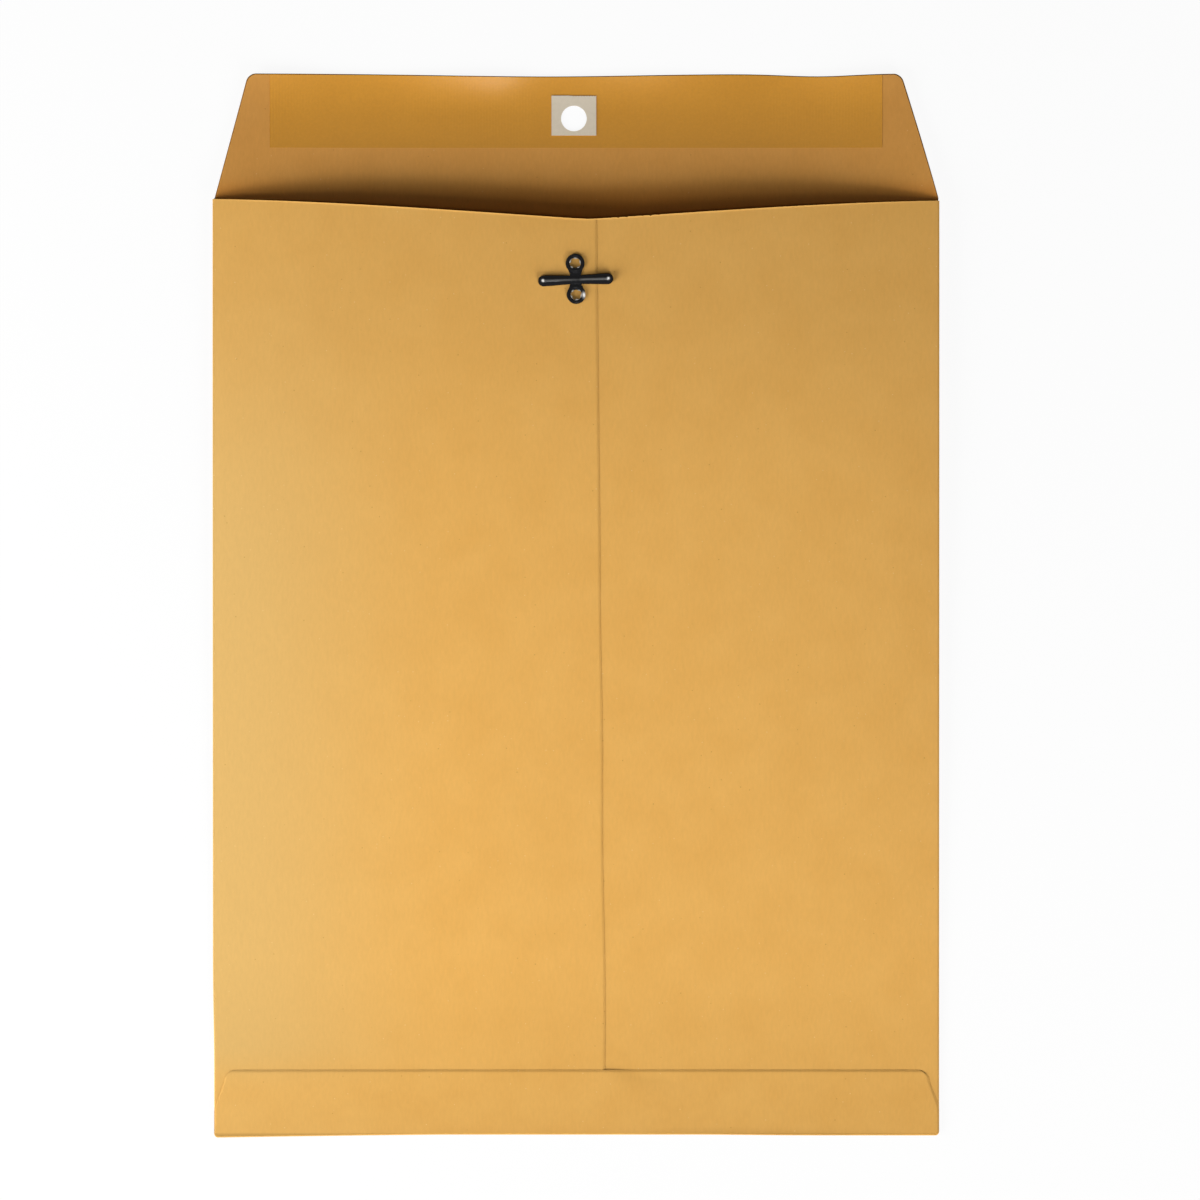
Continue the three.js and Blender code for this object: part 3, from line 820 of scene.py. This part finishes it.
def lathe_part(profile, centre_y, steps=72, waver=None):
    """A closed profile of (radius, height) points turned round an eyelet's axis, as vertices and faces.
    waver, if given, changes the radius and the height from the angle."""
    turns = np.linspace(0, 2 * math.pi, steps, endpoint=False)
    radius = np.array([p[0] for p in profile])[None, :] * np.ones((steps, 1))
    height = np.array([p[1] for p in profile])[None, :] * np.ones((steps, 1))
    if waver:
        radius, height = waver(turns[:, None], radius, height)
    points = np.stack([
        radius * np.cos(turns)[:, None], centre_y + radius * np.sin(turns)[:, None], height
    ], -1).reshape(-1, 3)
    count = len(profile)
    faces = []
    for i in range(steps):
        for k in range(count):
            a, b = i * count + k, i * count + (k + 1) % count
            c, d = ((i + 1) % steps) * count + (k + 1) % count, ((i + 1) % steps) * count + k
            faces.append((a, b, c, d))
    return points, faces


def joined_piece(name, parts):
    """One mesh object from several closed parts in clasp coordinates."""
    points, faces, start = [], [], 0
    for part_points, part_faces in parts:
        points.append(part_points)
        faces += [tuple(int(k) + start for k in face) for face in part_faces]
        start += len(part_points)
    mesh = bpy.data.meshes.new(name)
    mesh.from_pydata(np.concatenate(points), [], faces)
    piece = bpy.data.objects.new(name, mesh)
    bpy.context.scene.collection.objects.link(piece)
    return piece


def ring_profile():
    """The rolled ring on the paper, the barrel that runs down through it and its clinched end."""
    bore, rim = eyelet_bore / 2, ring_diameter / 2
    middle, half = (bore + rim) / 2, (rim - bore) / 2
    roll = [
        (middle + half * math.cos(a), slip + ring_height * math.sin(a) ** ring_roundness)
        for a in np.linspace(0, math.pi, 17)
    ]
    behind = -(2 * paper + glue_line + clinch_depth)
    barrel = bore + eyelet_wall
    clinched = barrel + clinch_reach
    return roll + [(bore, behind), (clinched, behind), (clinched, behind + clinch_thick),
                   (barrel, behind + clinch_root), (barrel, slip)]


def strap_parts():
    """The strap between the rings and the saddle across it, as rounded bars."""
    parts = []
    rows = np.linspace(-strap_half_length, strap_half_length, 41)
    angles = np.linspace(0, 2 * math.pi, 40, endpoint=False)
    boxy_cos = np.sign(np.cos(angles)) * np.abs(np.cos(angles)) ** bar_roundness
    boxy_sin = np.sign(np.sin(angles)) * np.abs(np.sin(angles)) ** bar_roundness
    waist = np.abs(rows) / strap_half_length
    half = strap_width / 2 + neck_flare * waist**2.2
    points = []
    for y, h in zip(rows, half):
        across = boxy_cos * h
        up = slip + metal / 2 + boxy_sin * metal / 2
        points.append(np.stack([across, np.full_like(across, y), up], -1))
    parts.append(tube_part(points))
    points = []
    for x in np.linspace(-bend_x, bend_x, 21):
        width, crown = ridge(x)
        along = ridge_y + np.cos(angles) * width / 2
        up = slip + np.where(np.sin(angles) > 0, np.sin(angles) * crown, np.sin(angles) * saddle_belly)
        points.append(np.stack([np.full_like(along, x), along, up], -1)[::-1])
    parts.append(tube_part(points))
    return parts


def tube_part(rings):
    """A closed tube through rings of points, with flat ends."""
    count = len(rings[0])
    points = np.concatenate(rings)
    faces = [tuple(range(count)), tuple(range(len(points) - 1, len(points) - count - 1, -1))]
    for i in range(len(rings) - 1):
        for k in range(count):
            n = (k + 1) % count
            faces.append((i * count + n, i * count + k, (i + 1) * count + k, (i + 1) * count + n))
    return points, faces


base = joined_piece(
    "clasp_base",
    strap_parts() + [lathe_part(ring_profile(), end * ring_spacing / 2) for end in (-1, 1)],
)
fuse = base.modifiers.new("stamped_in_one", "REMESH")
fuse.mode = "VOXEL"
fuse.voxel_size = voxel
soften = base.modifiers.new("enamel_film", "SMOOTH")
soften.factor = 0.5
soften.iterations = 5
base_mesh = bpy.data.meshes.new_from_object(base.evaluated_get(bpy.context.evaluated_depsgraph_get()))
base.modifiers.clear()
base.data = base_mesh

peel_mm = 0.7
enamel, tree, shader = new_material("black_enamel_on_steel_gloss")
orange_peel = noise(tree, rest_place(tree), peel_mm, 3.0)
tone = mix(tree, orange_peel, to_linear("08080A"), to_linear("0E0E11"))
# Painted highlights: bare bright metal laid on the enamel where its highlights show.
painted_highlight = add_node(tree, "ShaderNodeAttribute", attribute_name="painted_highlight").outputs["Fac"]
set_inputs(tree, shader, {
    "Base Color": mix(tree, painted_highlight, tone, to_linear("E6E4DF")),
    "Metallic": painted_highlight,
    "Roughness": ramp(tree, orange_peel, 0.35, 0.7, 0.1, 0.2),
    "Normal": bumps(tree, orange_peel, 0.1, 0.02 * mm),
    "Specular IOR Level": 0.12,
})

scuff_mm = 0.25
steel, tree, shader = new_material("steel_torn_bright")
scuff = noise(tree, rest_place(tree), scuff_mm, 4.0)
set_inputs(tree, shader, {
    "Base Color": mix(tree, scuff, to_linear("8E8A84"), to_linear("D9D5CC")),
    "Metallic": 1.0,
    "Roughness": 0.34,
})

# Where bright highlights are painted on the enamel as bare metal: along the ridge, at the crest of each
# wing's end and on the lower ring.
line_share = 0.17
line_width_mm = 0.3
line_end_mm = 11.7
spot_share = 1.6
spot_x_mm = 11.5
spot_y_mm = 0.1
spot_width_mm = 0.38
ring_share = 1.3
ring_highlight_x_mm = 2.75
ring_highlight_width_mm = 0.5
ring_highlight_length_mm = 0.9


def paint_highlights(piece, local):
    """Painted highlights on the enamel, bare bright metal kept at each point: a thin line, bright spots and
    a patch on one ring.
    """
    x, y, z = (local - np.array([0, ridge_y, 0])).T / mm
    out = np.abs(x)
    fading = 0.45 + 0.55 * smooth((out - 0.8) / 2)
    line = line_share * np.exp(-((y / line_width_mm) ** 2)) * (out < line_end_mm) * fading
    spots = spot_share * np.exp(-(((out - spot_x_mm) ** 2 + (y - spot_y_mm) ** 2) / spot_width_mm**2))
    across_ring = (x - ring_highlight_x_mm) / ring_highlight_width_mm
    along_ring = (y + ring_spacing / 2 / mm) / ring_highlight_length_mm
    ring = np.exp(-(across_ring**2) - along_ring**2)
    shine = np.clip(line * (z > 0.4) + spots * (z > 0.6) + ring_share * ring, 0, 1)
    attribute = piece.data.attributes.new("painted_highlight", "FLOAT", "POINT")
    attribute.data.foreach_set("value", shine.astype(np.float32))


base.data.materials.append(enamel)
points = np.zeros(len(base.data.vertices) * 3, np.float32)
base.data.vertices.foreach_get("co", points)
paint_highlights(base, points.reshape(-1, 3))
base.data.vertices.foreach_set("co", clasp_place(points.reshape(-1, 3)).astype(np.float32).ravel())
base.data.update()
finish_mesh(base, 80)
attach(base, "pocket")
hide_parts("clasp_base")


burr_root = 0.12 * mm
burr_top = 0.2 * mm
burr_depth = 0.06 * mm
long_teeth = 0.3 * mm
short_teeth = 0.1 * mm


def burr(end):
    """The bright torn lip inside one eyelet: a thin ring whose inner edge is ragged."""
    bore = eyelet_bore / 2
    profile = [(bore + burr_root, burr_top), (bore - 0.02 * mm, 0.0), (bore - 0.05 * mm, -burr_depth),
               (bore + burr_root, -burr_depth)]

    def ragged(turns, radius, height):
        teeth = long_teeth * np.abs(np.sin(2.5 * turns + end)) ** 3
        teeth = teeth + short_teeth * np.abs(np.sin(5.5 * turns + 2 * end))
        return np.where(radius < bore, radius - teeth, radius), height

    part = lathe_part(profile, end * ring_spacing / 2, steps=120, waver=ragged)
    piece = joined_piece("upper_eyelet_burr" if end > 0 else "lower_eyelet_burr", [part])
    piece.data.materials.append(steel)
    places = np.array([v.co for v in piece.data.vertices])
    piece.data.vertices.foreach_set("co", clasp_place(places).astype(np.float32).ravel())
    finish_mesh(piece, 50)
    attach(piece, "pocket")


burr(-1)
burr(1)

# The two wings. They belong to the same stamping and are pressed into half-round channels with domed
# ends. Each bends up from the saddle's side, where the ridge is lowest, to go through the flap's hole.
wing_start = 1.2 * mm
channel_wall = 0.3 * mm
wing_end_turn = math.radians(88)


def wing(name, sign):
    """sign is -1 for the left wing. The angle goes across its channel, and v from its root, 0, past the
    start of its round end, 1, to its tip, 2."""
    end_radius = wing_tip_width / 2
    round_x = wing_half_span - end_radius
    angles = np.linspace(-math.pi / 2, math.pi / 2, 41)
    if sign < 0:
        angles = angles[::-1]
    rows = np.concatenate([np.linspace(0, 1, 90), 1 + np.linspace(0, 1, 25)[1:]])

    def local_face(angle, v, side):
        turn = np.clip(v - 1, 0, 1) * wing_end_turn
        straight_x = wing_start + (round_x - wing_start) * v
        x = np.where(v <= 1, straight_x, round_x + end_radius * np.sin(turn))
        width, height = ridge(x)
        wall = channel_wall * (1 - side)
        half = (width / 2 - wall) * np.cos(turn)
        crown = (height - wall) * np.cos(turn)
        across, up = ridge_y - half * np.sin(angle), slip + crown * np.cos(angle)
        return np.stack(np.broadcast_arrays(sign * x, across, up), -1)

    def face(angle, v, side):
        placed = clasp_place(local_face(angle, v, side))
        return placed[..., 0], placed[..., 1], placed[..., 2]

    piece = sheet_piece(name, angles, rows, face, (enamel,) * 3)
    grid = np.meshgrid(angles, rows)
    paint_highlights(piece, np.concatenate([local_face(*grid, side).reshape(-1, 3) for side in (1.0, 0.0)]))
    finish_mesh(piece, 60)
    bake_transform(piece)
    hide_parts(name)


wing("left_wing", -1)
wing("right_wing", 1)

# The table and the room round it: a white floor that shows as plain white with a faint shadow from above
# and is clear from below, and a pale room that gives the metal something to reflect.
bpy.ops.mesh.primitive_plane_add(size=8, location=(0, 0, -0.02 * mm))
floor = bpy.context.object
floor.name = "floor"
white, tree, shader = new_material("white_table_paper")
set_inputs(tree, shader, {"Base Color": to_linear("F4F4F4"), "Roughness": 0.9, "Specular IOR Level": 0.1})


def seen_directly(tree):
    """1 for a ray from the camera, a reflection or a clear thing, and 0 for light on the object."""
    rays = add_node(tree, "ShaderNodeLightPath")
    seen = rays.outputs["Is Camera Ray"]
    for kind in ("Is Glossy Ray", "Is Transmission Ray"):
        either = add_node(tree, "ShaderNodeMath", {0: seen, 1: rays.outputs[kind]}, operation="MAXIMUM")
        seen = either.outputs[0]
    return seen


floor_glow = 0.92
glow = add_node(tree, "ShaderNodeEmission", {"Color": (1, 1, 1, 1), "Strength": 1.0})
lit = add_node(tree, "ShaderNodeMixShader", {
    0: multiply(tree, seen_directly(tree), floor_glow),
    1: shader.outputs["BSDF"],
    2: glow.outputs["Emission"],
})
clear = add_node(tree, "ShaderNodeBsdfTransparent")
under = add_node(tree, "ShaderNodeNewGeometry")
two_sided = add_node(
    tree, "ShaderNodeMixShader",
    {0: under.outputs["Backfacing"], 1: lit.outputs["Shader"], 2: clear.outputs["BSDF"]},
)
tree.links.new(two_sided.outputs["Shader"], tree.nodes["Material Output"].inputs["Surface"])
floor.data.materials.append(white)

room = bpy.data.worlds.new("pale_studio")
bpy.context.scene.world = room
room.use_nodes = True
tree = room.node_tree
room_light = 0.03
set_inputs(tree, tree.nodes["Background"], {
    "Strength": ramp(tree, seen_directly(tree), 0.0, 1.0, room_light, 1.0),
    "Color": (1, 1, 1, 1),
})


# The lights. Two large low soft boxes in front are the keys and throw the mouth's shadow on the flap, and a
# small close one brightens the left side. All three are kept out of reflections, where they would only
# glare on paper seen from behind. One overhead gives the gum its sheen, and a small lamp is on the right.
def soft_box(name, azimuth, elevation, distance, width, height, power):
    """azimuth 0 is on the flap's side, 90 on the right and 180 on the bottom fold's side."""
    data = bpy.data.lights.new(name, "AREA")
    data.shape = "RECTANGLE"
    data.size, data.size_y = width, height
    data.energy = power
    lamp = bpy.data.objects.new(name, data)
    a, e = math.radians(azimuth), math.radians(elevation)
    level = distance * math.cos(e)
    lamp.location = (level * math.sin(a), level * math.cos(a), distance * math.sin(e))
    lamp.rotation_euler = (-lamp.location).to_track_quat("-Z", "Z").to_euler()
    lamp.visible_camera = False
    bpy.context.scene.collection.objects.link(lamp)
    return lamp


right_front = soft_box("right_front_soft_box", 150, 15, 2.2, 0.9, 0.9, 64.5)
left_front = soft_box("left_front_soft_box", 230, 12.5, 2.2, 0.9, 0.8, 57.2)
left_side = soft_box("left_soft_box", 256, 15, 0.8, 0.35, 0.22, 6)
for low_box in (right_front, left_front, left_side):
    low_box.visible_glossy = False
soft_box("top_soft_box", 180, 80.8, 2.6, 0.35, 0.35, 4.4)
soft_box("right_lamp", 125, 32, 2.2, 0.15, 0.15, 1.5)

# The camera: straight above and a little off the object's middle, with a long lens that shows the sheet
# with next to no perspective.
frame_width = 421.5 * mm
lens = 200
sensor = 36
view_x = 8.43 * mm
view_y = 1.47 * mm
camera_data = bpy.data.cameras.new("camera")
camera_data.lens = lens
camera_data.sensor_width = sensor
camera = bpy.data.objects.new("camera", camera_data)
camera.location = (view_x, view_y, frame_width * lens / sensor)
bpy.context.scene.collection.objects.link(camera)
bpy.context.scene.camera = camera
bpy.context.scene.view_settings.view_transform = "Standard"
